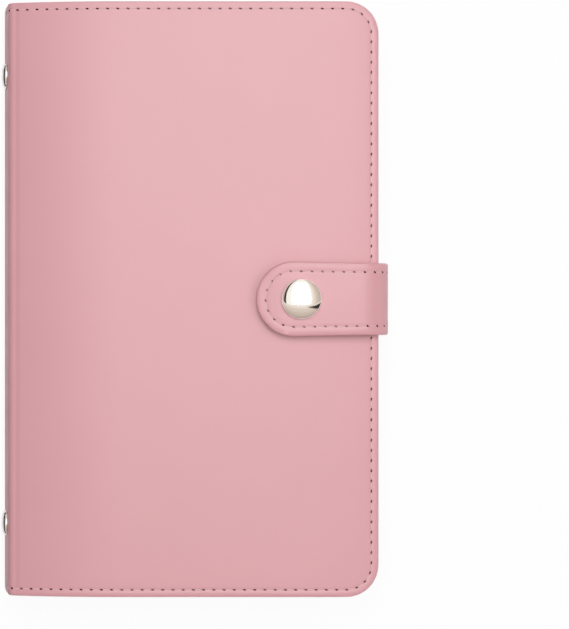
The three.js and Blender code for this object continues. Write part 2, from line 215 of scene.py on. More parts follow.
front_slope = 2 * FRONT_RISE / FRONT_RISE_LENGTH
front_angle = math.atan(front_slope)
across = (-math.cos(SPINE_LEAN), math.sin(SPINE_LEAN))
upward = (math.sin(SPINE_LEAN), math.cos(SPINE_LEAN))
spine_start = (BACK_FOLD_RADIUS * (1 + across[0]), BACK_FOLD_RADIUS * (1 + across[1]))
fold_over_wall = FRONT_FOLD_RADIUS * (math.cos(front_angle) - math.sin(SPINE_LEAN))
spine_length = (CLOSED_THICKNESS - FRONT_RISE - fold_over_wall - spine_start[1]) / upward[1]


def spine_point(share):
    """x, z and the outward normal of the spine's outer skin, at a share of its length."""
    bulge = SPINE_BULGE * math.sin(math.pi * share) ** 2
    slope = SPINE_BULGE * math.pi * math.sin(2 * math.pi * share) / spine_length
    along = spine_length * share
    nx, nz = across[0] - upward[0] * slope, across[1] - upward[1] * slope
    size = math.hypot(nx, nz)
    return (
        spine_start[0] + upward[0] * along + across[0] * bulge,
        spine_start[1] + upward[1] * along + across[1] * bulge,
        nx / size,
        nz / size,
    )


spine_end = spine_point(1.0)
front_fold = (spine_end[0] - across[0] * FRONT_FOLD_RADIUS,
              spine_end[1] - across[1] * FRONT_FOLD_RADIUS)
hinge_x = front_fold[0] - FRONT_FOLD_RADIUS * math.sin(front_angle)
hinge_z = front_fold[1] + FRONT_FOLD_RADIUS * math.cos(front_angle)
front_fore_edge = hinge_x + COVER_WIDTH
back_fore_edge = BACK_FOLD_RADIUS + COVER_WIDTH - BACK_COVER_SHORTER
lift_end = back_fore_edge - STRAP_ANCHOR_LENGTH - LIFT_BEFORE_STRAP
lift_start = lift_end - LIFT_LENGTH
snap_x = front_fore_edge - SNAP_FROM_FORE_EDGE


def back_point(x):
    """x, z and the outward normal of the back cover's skin, lifted where the strap lies under it."""
    share = min(max((x - lift_start) / (lift_end - lift_start), 0), 1)
    slope = BACK_LIFT * 6 * share * (1 - share) / (lift_end - lift_start)
    size = math.hypot(slope, 1)
    return (x, BACK_LIFT * share * share * (3 - 2 * share), slope / size, -1 / size)


def front_point(x):
    """x, z and the outward normal of the front cover's skin, which curves down at both ends."""
    run = x - hinge_x
    left = min(max(1 - run / FRONT_RISE_LENGTH, 0), 1)
    right = max(0, (run - COVER_WIDTH + FORE_EDGE_DROP_LENGTH) / FORE_EDGE_DROP_LENGTH)
    slope = front_slope * left - 2 * FORE_EDGE_DROP * right / FORE_EDGE_DROP_LENGTH
    size = math.hypot(slope, 1)
    z = CLOSED_THICKNESS - FRONT_RISE * left * left - FORE_EDGE_DROP * right * right
    return (x, z, -slope / size, 1 / size)


back_part = [back_point(x) for x in np.linspace(back_fore_edge, BACK_FOLD_RADIUS, 220)]
back_arc = arc(BACK_FOLD_RADIUS, BACK_FOLD_RADIUS, BACK_FOLD_RADIUS,
               -math.pi / 2, -math.pi - SPINE_LEAN, 40)[1:]
wall = [spine_point(share) for share in np.linspace(0, 1, 60)][1:]
front_arc = arc(front_fold[0], front_fold[1], FRONT_FOLD_RADIUS,
                math.pi - SPINE_LEAN, math.pi / 2 + front_angle, 30)[1:]
front_part = [front_point(x) for x in np.linspace(hinge_x, front_fore_edge, 240)][1:]
cover_line = OuterLine(back_part + back_arc + wall + front_arc + front_part)
fold_at = cover_line.nearest(hinge_x, hinge_z)
wall_from = cover_line.nearest(*back_arc[-1][:2])
back_fold_from = cover_line.nearest(BACK_FOLD_RADIUS, 0)

strap_outer_x = front_fore_edge + STRAP_STAND_OFF + STRAP_THICKNESS
strap_top_z = CLOSED_THICKNESS + STRAP_GAP + STRAP_THICKNESS
low_x = strap_outer_x - STRAP_LOW_RADIUS
high_x = strap_outer_x - STRAP_TOP_RADIUS
high_z = strap_top_z - STRAP_TOP_RADIUS
anchor_start = back_fore_edge - STRAP_ANCHOR_LENGTH
tongue_end = front_fore_edge - STRAP_OVERLAP
strap_line = OuterLine(
    [(x, 0, 0, -1) for x in np.linspace(anchor_start, low_x, 60)]
    + arc(low_x, STRAP_LOW_RADIUS, STRAP_LOW_RADIUS, -math.pi / 2, 0, 24)[1:]
    + [(strap_outer_x, z, 1, 0) for z in np.linspace(STRAP_LOW_RADIUS, high_z, 30)][1:]
    + arc(high_x, high_z, STRAP_TOP_RADIUS, 0, math.pi / 2, 30)[1:]
    + [(x, strap_top_z, 0, 1) for x in np.linspace(high_x, tongue_end, 60)][1:]
)
strap_middle = strap_line.nearest(strap_outer_x, strap_top_z / 2)


# Flat pattern pieces: cut as a plan of length by width, then laid along an outer line
def rounded_distance(s, y, start, end, half, radius_start, radius_end):
    """How far a point of the plan lies inside its rounded outline."""
    at_start = s < (start + end) / 2
    radius = radius_start if at_start else radius_end
    outward = start + radius - s if at_start else s - (end - radius)
    side = abs(y) - (half - radius)
    if outward > 0 and side > 0:
        return radius - math.hypot(outward, side)
    return min(radius - outward, radius - side)


def cut_pattern(name, start, end, half, radii, rings, columns, rows):
    """A plan sheet with round corners, rings inset from its edge, and cuts across and along it."""
    deselect()
    bpy.ops.mesh.primitive_plane_add(size=1, location=((start + end) / 2, 0, 0))
    piece = bpy.context.object
    piece.name = name
    piece.scale = (end - start, 2 * half, 1)
    bpy.ops.object.transform_apply(location=True, rotation=True, scale=True)
    bpy.ops.object.mode_set(mode="EDIT")
    bpy.ops.mesh.select_mode(type="VERT")
    for corner_radius, at_start in zip(radii, (True, False)):
        if corner_radius <= 0:
            continue
        bpy.ops.mesh.select_all(action="DESELECT")
        mesh = bmesh.from_edit_mesh(piece.data)
        for vertex in mesh.verts:
            near_start = vertex.co.x < (start + end) / 2
            vertex.select = near_start == at_start
        bmesh.update_edit_mesh(piece.data)
        bpy.ops.mesh.bevel(
            offset=corner_radius, offset_type="OFFSET", segments=CORNER_SEGMENTS, affect="VERTICES")
    bpy.ops.mesh.select_all(action="SELECT")
    bpy.ops.mesh.remove_doubles(threshold=0.05)
    bpy.ops.mesh.select_mode(type="FACE")
    bpy.ops.mesh.select_all(action="SELECT")
    last = 0.0
    for ring in rings:
        bpy.ops.mesh.inset(thickness=ring - last, depth=0)
        last = ring
    for cut in columns:
        bpy.ops.mesh.select_all(action="SELECT")
        bpy.ops.mesh.bisect(plane_co=(cut, 0, 0), plane_no=(1, 0, 0))
    for cut in rows:
        bpy.ops.mesh.select_all(action="SELECT")
        bpy.ops.mesh.bisect(plane_co=(0, cut, 0), plane_no=(0, 1, 0))
    bpy.ops.object.mode_set(mode="OBJECT")
    return piece


def keep_between(piece, start, end):
    """Cuts away the parts of a plan outside two lengths, where columns were cut before."""
    only(piece)
    bpy.ops.object.mode_set(mode="EDIT")
    mesh = bmesh.from_edit_mesh(piece.data)
    for face in mesh.faces:
        face.select = not start < face.calc_center_median().x < end
    bmesh.update_edit_mesh(piece.data)
    bpy.ops.mesh.delete(type="FACE")
    bpy.ops.object.mode_set(mode="OBJECT")


def lay(piece, place_outer, place_inner):
    """Gives the plan its thickness, and lays both faces where the two functions of s and y say."""
    plan = [vertex.co.copy() for vertex in piece.data.vertices]
    only(piece)
    wall_modifier = piece.modifiers.new("thickness", "SOLIDIFY")
    wall_modifier.thickness = 1
    wall_modifier.offset = -1
    bpy.ops.object.modifier_apply(modifier=wall_modifier.name)
    count = len(plan)
    for index, vertex in enumerate(piece.data.vertices):
        flat = plan[index % count]
        place = place_outer if index < count else place_inner
        vertex.co = to_frame(place(flat.x, flat.y))
    plan_map = piece.data.uv_layers[0].data
    for loop in piece.data.loops:
        flat = plan[loop.vertex_index % count]
        plan_map[loop.index].uv = (flat.x / 1000, flat.y / 1000)
    only(piece)
    bpy.ops.object.mode_set(mode="EDIT")
    bpy.ops.mesh.select_all(action="SELECT")
    bpy.ops.mesh.normals_make_consistent(inside=False)
    bpy.ops.object.mode_set(mode="OBJECT")
    bpy.ops.object.shade_smooth_by_angle(angle=SHEET_SMOOTH_ANGLE)
    return piece


def dip(distance, centre, width, depth):
    """Height of a soft groove, seen along the distance from it."""
    return -depth * math.exp(-((distance - centre) / width) ** 2)


def edge_round(distance, radius):
    """Height of a rounded edge, at a distance inside it."""
    if distance >= radius:
        return 0.0
    return -(radius - math.sqrt(max(radius * radius - (radius - distance) ** 2, 0)))


# Outer leather of the covers and the spine, with the sewn channel round its edge
half_height = COVER_HEIGHT / 2
rivet_ys = (half_height - RIVET_FROM_END, RIVET_FROM_END - half_height)
rivet_at = cover_line.nearest(*spine_point(0.5)[:2])


def cover_inside(s, y):
    return rounded_distance(s, y, 0, cover_line.total, half_height, CORNER_RADIUS, CORNER_RADIUS)


def leather_height(s, y):
    """Height of the leather over its line: rounded edge, seam, two creases and two drawn rivets."""
    inside = cover_inside(s, y)
    height = edge_round(inside, LEATHER_EDGE_RADIUS)
    height += dip(inside, STITCH_INSET, SEAM_WIDTH, SEAM_DEPTH)
    height += dip(s, fold_at + CREASE_SHIFT, CREASE_WIDTH, FRONT_CREASE_DEPTH)
    height += dip(s, back_fold_from - CREASE_SHIFT, CREASE_WIDTH, BACK_CREASE_DEPTH)
    for rivet_y in rivet_ys:
        away = math.hypot(s - rivet_at, y - rivet_y)
        height -= RIVET_DRAW * math.exp(-(max(away - RIVET_DRAW_RADIUS, 0) / RIVET_DRAW_FADE) ** 2)
    return height


def spaced(start, end, step):
    """The cuts between two lengths, evenly spaced and about a step apart."""
    count = max(1, round((end - start) / step))
    return list(np.linspace(start, end, count + 1)[1:-1])


# Cuts are fine round the spine, closer where a cover curves, and wide apart on its flat middle
spine_cuts_from = back_fold_from - 3
spine_cuts_to = fold_at + 4
rise_cuts_to = fold_at + 36
drop_cuts_from = cover_line.total - 24
cover_columns = (
    spaced(12, lift_start, 9)
    + [cover_line.nearest(x, back_point(x)[1]) for x in np.linspace(lift_start, lift_end, 9)]
    + spaced(spine_cuts_to, rise_cuts_to, 2.0)
    + spaced(drop_cuts_from, cover_line.total, 2.0)
)
leather_columns = (
    cover_columns
    + spaced(spine_cuts_from, spine_cuts_to, 0.55)
    + spaced(rise_cuts_to, drop_cuts_from, 12)
)
leather_rings = (0.12, 0.45, 1.3, 1.75, 2.05, 2.3, 2.55, 2.85, 3.3, 4.2)
rivet_cuts = (-8, -6, -4.5, -3, 0, 3, 4.5, 6, 8)
leather_rows = [rivet_y + offset for rivet_y in rivet_ys for offset in rivet_cuts]
split_at = wall_from + 1.0
cover_halves = (("back", 0, split_at), ("front", split_at, cover_line.total))


def cover_half(name, rings, columns, rows, start, end, place_outer, place_inner):
    """One half of a sheet that reaches round the spine, kept between two lengths along it."""
    sheet = cut_pattern(name, 0, cover_line.total, half_height, (CORNER_RADIUS, CORNER_RADIUS),
                        rings, sorted([split_at, *columns]), rows)
    keep_between(sheet, start, end)
    return lay(sheet, place_outer, place_inner)


leather = {}
for half_name, start, end in cover_halves:
    leather[half_name] = cover_half(
        f"cover_leather_{half_name}", leather_rings, leather_columns, leather_rows, start, end,
        lambda s, y: cover_line.place(s, y, leather_height(s, y)),
        lambda s, y: cover_line.place(s, y, -SKIN))

# Lining: over both boards and the spine, with a pocket for each board
lining_rings = (0.15, 0.5, 1.75, 2.1, 2.3, 2.5, 2.85, 4.15, 4.25)
board_edges = (BOARD_MARGIN, back_fold_from - BACK_BOARD_FROM_FOLD,
               fold_at + FRONT_BOARD_FROM_FOLD, cover_line.total - BOARD_MARGIN)


def smooth(value):
    """A soft step from 0 to 1, as the value goes from 0 to 1."""
    share = min(max(value, 0), 1)
    return share * share * (3 - 2 * share)


def spine_depth(s):
    """Depth of the inner face under the outer line: deep over the boards, thin in the spine."""
    thin = SKIN + SPINE_LINING
    into_spine = smooth((s - (back_fold_from - BACK_THINNING_START)) / BACK_THINNING_LENGTH)
    into_front = smooth((s - (fold_at - FRONT_THINNING_START)) / FRONT_THINNING_LENGTH)
    return COVER_THICKNESS + (thin - COVER_THICKNESS) * (into_spine - into_front)


def lining_shown(s, y):
    """The face of the lining that shows when the wallet is open."""
    inside = cover_inside(s, y)
    rounding = edge_round(inside, LINING_EDGE_RADIUS)
    channel = dip(inside, STITCH_INSET, SEAM_WIDTH, SEAM_DEPTH)
    return cover_line.place(s, y, -spine_depth(s) - rounding - channel)


def lining_backing(s, y):
    """The hidden face of the lining, which steps round each board."""
    over_back = board_edges[0] < s < board_edges[1]
    over_front = board_edges[2] < s < board_edges[3]
    over_board = (over_back or over_front) and abs(y) < half_height - BOARD_MARGIN
    return cover_line.place(s, y, -(SKIN + LAYER_GAP + (BOARD if over_board else 0)))


lining_columns = (
    cover_columns
    + [edge + offset for edge in board_edges[1:3] for offset in (-0.05, 0.05)]
    + spaced(spine_cuts_from, spine_cuts_to, 0.6)
)
lining = {}
for half_name, start, end in cover_halves:
    lining[half_name] = cover_half(
        f"cover_lining_{half_name}", lining_rings, lining_columns, [], start, end,
        lining_backing, lining_shown)

# Film sleeves: fourteen leaves with a welded edge, fanned from the binding
def tab_point(share):
    """x and z of the binding tab's inner face, at a share of the spine's length."""
    x, z, nx, nz = spine_point(share)
    return x - nx * TAB_DEPTH, z - nz * TAB_DEPTH


(tab_low_x, tab_low_z), (tab_high_x, tab_high_z) = (tab_point(share) for share in TAB_ENDS)
page_end = BACK_FOLD_RADIUS + PAGE_WIDTH


def shared_out(first, last, index):
    """One leaf's value, where the values go evenly from the first leaf's to the last leaf's."""
    return first + (last - first) * index / (LEAF_COUNT - 1)


def leaf_level(x, index):
    """Height of a leaf's middle between the covers, at an x."""
    back = back_point(x)
    front = front_point(max(x, hinge_x))
    bottom = back[1] + COVER_THICKNESS / -back[3] + PAGE_CLEARANCE + LEAF_THICKNESS / 2
    ceiling = front[1] - COVER_THICKNESS / front[3] - STUD_RING_THICKNESS
    top = ceiling - PAGE_CLEARANCE - LEAF_THICKNESS / 2
    return shared_out(bottom, top, index)


def leaf_middle(x, index):
    """Height of a leaf's middle, fanned out from where it leaves the tab."""
    first = shared_out(tab_low_x + FAN_OFF_TAB, tab_high_x, index)
    root = shared_out(tab_low_z + LEAF_THICKNESS, tab_high_z - LEAF_THICKNESS, index)
    share = min(max((x - first) / LEAF_FAN_LENGTH, 0), 1)
    return root + (leaf_level(max(x, first), index) - root) * share


leaf_rings = (0.3, 2.2, 2.6)
leaves = []
for index in range(LEAF_COUNT):
    leaf_start = shared_out(tab_low_x, tab_high_x, index) + LEAF_OFF_TAB
    leaf_end = page_end - LEAF_STAGGER * (index % 3)
    fan_cuts = spaced(leaf_start, leaf_start + 8, 1.0) + spaced(leaf_start + 8, leaf_start + 40, 4.0)
    leaf = cut_pattern(
        f"sleeve_leaf_{index + 1:02d}", leaf_start, leaf_end, PAGE_HEIGHT / 2,
        (0, PAGE_CORNER), leaf_rings, fan_cuts + spaced(lift_start, lift_end, 3.0), [])

    def film_face(side, index=index, leaf_start=leaf_start, leaf_end=leaf_end):
        def place(x, y):
            inside = rounded_distance(
                x, y, leaf_start, leaf_end, PAGE_HEIGHT / 2, SQUARE_CORNER, PAGE_CORNER)
            if inside < LEAF_RIM_WIDTH:
                half_thickness = LEAF_RIM_HALF
            elif inside < LEAF_WELD_WIDTH:
                half_thickness = LEAF_WELD_HALF
            else:
                half_thickness = LEAF_POCKET_HALF
            return Vector((x, y, leaf_middle(x, index) + side * half_thickness))
        return place

    lay(leaf, film_face(1), film_face(-1))
    leaves.append(leaf)

# Strap: one sewn strip of face and backing, made in two halves that meet half-way round the fore-edge
strap_half = STRAP_WIDTH / 2
strap_straight = strap_line.total - STRAP_END_LENGTH
strap_bend_end = strap_line.total - (high_x - tongue_end)
strap_rings = (0.12, 0.5, 1.8, 2.35, 2.65, 2.9, 3.15, 3.45, 4.0)


def strap_taper(s):
    """The strap is a little narrower round the fore-edge than at the snap."""
    into_tongue = min(max((s - strap_bend_end) / (strap_straight - strap_bend_end), 0), 1)
    return (STRAP_WRAP_WIDTH + (STRAP_WIDTH - STRAP_WRAP_WIDTH) * into_tongue) / STRAP_WIDTH


def strap_inside(s, y):
    return max(rounded_distance(s, y, 0, strap_line.total, strap_half, SQUARE_CORNER, strap_half), 0)


def strap_height(s, y):
    """Height of a shown face over its flat level: rounded edge and sewn channel."""
    inside = strap_inside(s, y)
    channel = dip(inside, STRAP_STITCH_INSET, SEAM_WIDTH, SEAM_DEPTH)
    return edge_round(inside, STRAP_EDGE_RADIUS) + channel


def on_strap(s, y, height):
    """A point of the strap, whose tip droops a little past the snap."""
    droop = TIP_DROOP * smooth((s - strap_line.total + TIP_DROOP_LENGTH) / TIP_DROOP_LENGTH)
    return strap_line.place(s, y * strap_taper(s), height - droop)


def strap_half_piece(name, start, end, outer_depth, inner_depth, is_face):
    """One layer of one half of the strap, with its edges and sewn channel on the side that shows."""
    has_tip = end == strap_line.total
    cuts = [start] if has_tip else [start, end]
    piece = cut_pattern(name, 0, strap_line.total, strap_half, (0, strap_half - SQUARE_CORNER),
                        strap_rings, cuts + spaced(start, end, STRAP_CUT_STEP), [])
    keep_between(piece, start, end)

    def outer(s, y):
        return on_strap(s, y, (strap_height(s, y) if is_face else 0) - outer_depth)

    def inner(s, y):
        return on_strap(s, y, (0 if is_face else -strap_height(s, y)) - inner_depth)

    return lay(piece, outer, inner)


strap_halves = (("lower", 0, strap_middle), ("upper", strap_middle, strap_line.total))
strap_pieces = {}
for half_name, start, end in strap_halves:
    strap_pieces[half_name] = [
        strap_half_piece(f"strap_{half_name}_face", start, end, 0, STRAP_LAYER, True),
        strap_half_piece(f"strap_{half_name}_backing", start, end, STRAP_LAYER + LAYER_GAP,
                         STRAP_THICKNESS, False),
    ]


# Stitching: one thread and one needle hole, copied along the sewn lines
def sewn_line(start, end, half, radii, inset):
    """The closed line at an inset from a rounded plan: its points, and the length up to each."""
    low, high, side = start + inset, end - inset, half - inset
    corners = (
        (True, -1, radii[1], -90), (True, 1, radii[1], 0),
        (False, 1, radii[0], 90), (False, -1, radii[0], 180))
    points = []
    for at_end, sign_y, radius, first in corners:
        bend = max(radius - inset, SEAM_SMALLEST_BEND)
        centre_s = high - bend if at_end else low + bend
        centre_y = sign_y * (side - bend)
        for step in range(SEAM_CORNER_STEPS + 1):
            angle = math.radians(first + 90 * step / SEAM_CORNER_STEPS)
            points.append((centre_s + bend * math.cos(angle), centre_y + bend * math.sin(angle)))
    points.append(points[0])
    points = np.array(points)
    return points, lengths_along(points)


def sewn_places(line, pitch, offset=0.0):
    """Each place of a sewn line, as two points a little before and after it."""
    points, lengths = line
    total = lengths[-1]
    count = round(total / pitch)
    real_pitch = total / count
    places = []
    for index in range(count):
        at = (index + offset) * real_pitch
        ends = [(at + step) % total for step in (-SEAM_STEP, SEAM_STEP)]
        places.append([(np.interp(length, lengths, points[:, 0]), np.interp(length, lengths, points[:, 1]))
                       for length in ends])
    return places


def stand_on(place, pair, height, flip, turn=0.0):
    """A frame on a laid surface: X along the seam, Z outwards, or inwards if it is flipped."""
    a, b = (place(s, y, height) for s, y in pair)
    mid_s = (pair[0][0] + pair[1][0]) / 2
    mid_y = (pair[0][1] + pair[1][1]) / 2
    centre = place(mid_s, mid_y, height)
    out = (place(mid_s, mid_y, height + 1) - centre).normalized() * (-1 if flip else 1)
    along = (b - a).normalized()
    side = out.cross(along).normalized()
    matrix = Matrix((along, side, out)).transposed().to_4x4()
    matrix.translation = to_frame(centre)
    return matrix @ Matrix.Rotation(turn, 4, "Z")


def copy_to(master, name, matrices):
    """Copies of one small shape, each with its own mesh, joined as one piece."""
    deselect()
    copies = []
    for matrix in matrices:
        copy = master.copy()
        copy.data = master.data.copy()
        copy.data.transform(matrix)
        bpy.context.collection.objects.link(copy)
        copies.append(copy)
    for copy in copies:
        copy.select_set(True)
    bpy.context.view_layer.objects.active = copies[0]
    bpy.ops.object.join()
    joined = bpy.context.object
    joined.name = name
    return joined


def scaled_primitive(name, size):
    piece = bpy.context.object
    piece.name = name
    piece.scale = [value / 1000 for value in size]
    bpy.ops.object.transform_apply(location=True, rotation=True, scale=True)
    return piece


deselect()
bpy.ops.mesh.primitive_uv_sphere_add(segments=8, ring_count=6, radius=1)
bpy.ops.object.mode_set(mode="EDIT")
bpy.ops.mesh.select_all(action="SELECT")
bpy.ops.transform.rotate(value=math.pi / 2, orient_axis="Y", center_override=(0, 0, 0))
bpy.ops.object.mode_set(mode="OBJECT")
stitch_length = STITCH_PITCH - HOLE_LENGTH
stitch = scaled_primitive("stitch", (stitch_length / 2, THREAD_WIDTH / 2, THREAD_HEIGHT / 2))
bpy.ops.object.shade_smooth()

# A needle hole is a shallow dished disc on the leather, which carries the painted shade of the hole
deselect()
bpy.ops.mesh.primitive_circle_add(vertices=10, radius=1, fill_type="NGON")
bpy.ops.object.mode_set(mode="EDIT")
bpy.ops.mesh.select_all(action="SELECT")
bpy.ops.mesh.inset(thickness=0.5, depth=-0.1)
bpy.ops.object.mode_set(mode="OBJECT")
needle_hole = scaled_primitive("needle_hole", (HOLE_LENGTH / 2, HOLE_WIDTH / 2, HOLE_WIDTH / 2))

# Heights over the leather: a hole's rim stands just clear of the sewn channel, a thread lies half in it
HOLE_HEIGHT = -0.055
THREAD_LEVEL = -0.07


def places_between(line, pitch, start, end, offset=0.0):
    """The places of a seam whose middle lies between two lengths."""
    places = sewn_places(line, pitch, offset)
    return [pair for pair in places if start <= (pair[0][0] + pair[1][0]) / 2 < end]


def sew(name, line, start, end, place, flip):
    """The threads and the needle holes of one half of a cover's seam."""
    side = -1 if flip else 1
    threads = [stand_on(place, pair, side * THREAD_LEVEL, flip)
               for pair in places_between(line, STITCH_PITCH, start, end, 0.5)]
    holes = [stand_on(place, pair, side * HOLE_HEIGHT, flip, HOLE_TURN)
             for pair in places_between(line, STITCH_PITCH, start, end)]
    return (copy_to(stitch, f"{name}_thread", threads),
            copy_to(needle_hole, f"{name}_needle_holes", holes))


def on_lining(s, y, height):
    """A point over the lining's shown face, before its channel is pressed in."""
    return cover_line.place(s, y, height - spine_depth(s))


cover_seam = sewn_line(0, cover_line.total, half_height, (CORNER_RADIUS, CORNER_RADIUS), STITCH_INSET)
outer_seam = {}
inner_seam = {}
for half_name, start, end in cover_halves:
    outer_seam[half_name] = sew(
        f"outer_seam_{half_name}", cover_seam, start, end, cover_line.place, flip=False)
    inner_seam[half_name] = sew(
        f"inner_seam_{half_name}", cover_seam, start, end, on_lining, flip=True)


def slanted(pair):
    """The same place of the strap's plan, but facing one slanted direction all round the seam."""
    middle_s, middle_y = ((a + b) / 2 for a, b in zip(*pair))
    step_s, step_y = SEAM_STEP * math.cos(STRAP_HOLE_SLANT), SEAM_STEP * math.sin(STRAP_HOLE_SLANT)
    return (middle_s - step_s, middle_y - step_y), (middle_s + step_s, middle_y + step_y)


strap_seam = sewn_line(
    0, strap_line.total, strap_half, (SEAM_SMALLEST_BEND, strap_half), STRAP_STITCH_INSET)
strap_hole_shape = Matrix.Scale(STRAP_HOLE_LENGTH / HOLE_LENGTH, 4, (1, 0, 0))
strap_seams = {}
for half_name, start, end in strap_halves:
    thread_pairs = places_between(strap_seam, STRAP_STITCH_PITCH, start, end, 0.5)
    hole_pairs = places_between(strap_seam, STRAP_STITCH_PITCH, start, end)
    strap_seams[half_name] = [
        copy_to(stitch, f"strap_{half_name}_thread",
                [stand_on(on_strap, pair, THREAD_LEVEL, False) for pair in thread_pairs]),
        copy_to(needle_hole, f"strap_{half_name}_needle_holes",
                [stand_on(on_strap, slanted(pair), HOLE_HEIGHT, False) @ strap_hole_shape
                 for pair in hole_pairs]),
        copy_to(stitch, f"strap_{half_name}_inner_thread",
                [stand_on(on_strap, pair, -STRAP_THICKNESS - THREAD_LEVEL, True)
                 for pair in thread_pairs]),
    ]
for master in (stitch, needle_hole):
    bpy.data.objects.remove(master)


# Nickel parts: profiles spun round their axes
def turned(name, profile, sides, place):
    """A profile of radius and height in millimetres, spun closed and put in place by a matrix."""
    deselect()
    bpy.ops.mesh.primitive_plane_add(size=1)
    piece = bpy.context.object
    piece.name = name
    bpy.ops.object.mode_set(mode="EDIT")
    bpy.ops.mesh.select_mode(type="VERT")
    bpy.ops.mesh.select_all(action="SELECT")
    bpy.ops.mesh.merge(type="CENTER")
    bpy.ops.transform.translate(value=(profile[0][0], 0, profile[0][1]))
    for (r, h), (next_r, next_h) in zip(profile, profile[1:]):
        bpy.ops.mesh.extrude_region_move(TRANSFORM_OT_translate={"value": (next_r - r, 0, next_h - h)})
    bpy.ops.mesh.select_all(action="SELECT")
    bpy.ops.mesh.spin(steps=sides, angle=2 * math.pi, center=(0, 0, 0), axis=(0, 0, 1))
    bpy.ops.mesh.select_all(action="SELECT")
    bpy.ops.mesh.remove_doubles(threshold=0.0005)
    bpy.ops.mesh.normals_make_consistent(inside=False)
    bpy.ops.object.mode_set(mode="OBJECT")
    piece.data.transform(place @ Matrix.Diagonal((0.001, 0.001, 0.001, 1)))
    bpy.ops.object.shade_smooth_by_angle(angle=METAL_SMOOTH_ANGLE)
    return piece


def dome(radius, height, rim, steps):
    points = []
    for angle in np.linspace(math.pi / 2, 0, steps + 1):
        points.append((radius * math.cos(angle), rim + (height - rim) * math.sin(angle)))
    return points


def upright_at(x, y, z):
    return Matrix.Translation(to_frame((x, y, z)))


snap_cap = turned("snap_cap_dome", [
    (0, 2.2), *dome(6.25, 2.2, 0.72, 18)[1:], (6.25, 0.45), (6.12, 0.16), (5.85, 0.03), (1.4, 0.03),
    (1.4, -STRAP_THICKNESS - 0.35), (0, -STRAP_THICKNESS - 0.35)],
    96, upright_at(snap_x, 0, strap_top_z))
socket_top = STRAP_GAP - LAYER_GAP
socket_floor = socket_top - 0.35
snap_socket = turned("snap_socket_ring", [
    (1.45, socket_floor), (3.1, socket_floor), (3.1, 0.95), (2.95, 0.8), (3.1, 0.64), (3.35, 0.6),
    (3.9, 0.68), (4.3, 0.62), (4.95, 0.6), (5.18, 0.7), (5.25, 0.95), (5.25, socket_top - 0.3),
    (5.12, socket_top - 0.06), (4.95, socket_top), (1.45, socket_top), (1.45, socket_floor)],
    64, upright_at(snap_x, 0, CLOSED_THICKNESS))
snap_stud = turned("snap_stud_boss", [
    (0, 1.9), (0.9, 1.9), (1.7, 1.84), (2.1, 1.7), (2.38, 1.5), (2.45, 1.35), (2.38, 1.16), (2.22, 1.0),
    (2.2, 0.62), (2.4, 0.5), (4.2, 0.46), (4.6, 0.36), (4.75, 0.2), (4.75, 0.02), (1.3, 0.02), (1.3, 1.3),
    (0, 1.3)], 64, upright_at(snap_x, 0, CLOSED_THICKNESS))
ring_top = -COVER_THICKNESS - LAYER_GAP
snap_ring = turned("snap_stud_ring_inner", [
    (0, ring_top), (0.75, ring_top), (0.8, ring_top - 0.3), (1.3, ring_top - 0.5), (2.4, ring_top - 0.42),
    (3.6, ring_top - 0.48), (4.05, ring_top - 0.36), (4.2, ring_top - 0.15), (4.2, ring_top),
    (1.25, ring_top), (1.25, 1.2), (0, 1.2)], 56, upright_at(snap_x, 0, CLOSED_THICKNESS))

rivet_px, rivet_pz, rivet_nx, rivet_nz = spine_point(0.5)
rivet_turn = Matrix.Rotation(math.atan2(rivet_nx, rivet_nz), 4, "Y")
rivets = []
strip_floor = SKIN + SPINE_LINING + LAYER_GAP + 1.0
for end_name, rivet_y in zip(("top", "bottom"), rivet_ys):
    rivets.append(turned(f"rivet_dome_{end_name}", [
        (0, 1.6 - RIVET_DRAW), *dome(4.0, 1.6 - RIVET_DRAW, 0.4 - RIVET_DRAW, 12)[1:],
        (4.0, 0.2 - RIVET_DRAW), (3.92, -RIVET_DRAW), (3.7, -0.2 - RIVET_DRAW), (1.4, -0.2 - RIVET_DRAW),
        (1.4, -strip_floor - 0.08), (0.85, -strip_floor - 0.08), (0.85, -SKIN), (0, -SKIN)],
        64, Matrix.Translation(to_frame((rivet_px, rivet_y, rivet_pz))) @ rivet_turn))

# Materials
def linear(hex_colour):
    """An sRGB hex colour as the linear numbers that a shader takes."""
    channels = [int(hex_colour[i:i + 2], 16) / 255 for i in (1, 3, 5)]
    return [c / 12.92 if c <= 0.04045 else ((c + 0.055) / 1.055) ** 2.4 for c in channels] + [1.0]


def add_node(owner, kind, links=(), **settings):
    """Adds a node to a material or the world, sets it by name, and links (output, input) pairs."""
    node = owner.node_tree.nodes.new(kind)
    for key, value in settings.items():
        if key in node.bl_rna.properties:
            setattr(node, key, value)
        else:
            node.inputs[key.replace("_", " ")].default_value = value
    for output, name in links:
        owner.node_tree.links.new(output, node.inputs[name])
    return node


def new_material(name, colour, **sockets):
    """A material of one colour and its shader, with the shader's other sockets set by name."""
    material = bpy.data.materials.new(name)
    material.use_nodes = True
    shader = material.node_tree.nodes["Principled BSDF"]
    shader.inputs["Base Color"].default_value = linear(colour)
    for key, value in sockets.items():
        shader.inputs[key.replace("_", " ")].default_value = value
    return material, shader


def mottle(material, shader, light, dark, size_mm, share, space="UV"):
    """Slow variation between two close colours, over patches of the given size."""
    coordinates = add_node(material, "ShaderNodeTexCoord").outputs[space]
    noise = add_node(material, "ShaderNodeTexNoise", [(coordinates, "Vector")],
                     Scale=1000 / size_mm, Detail=3.0, Roughness=0.55)
    ramp = add_node(material, "ShaderNodeValToRGB", [(noise.outputs["Fac"], "Fac")])
    ramp.color_ramp.elements[0].position = 0.5 - share
    ramp.color_ramp.elements[0].color = linear(dark)
    ramp.color_ramp.elements[1].position = 0.5 + share
    ramp.color_ramp.elements[1].color = linear(light)
    material.node_tree.links.new(ramp.outputs["Color"], shader.inputs["Base Color"])
    return coordinates


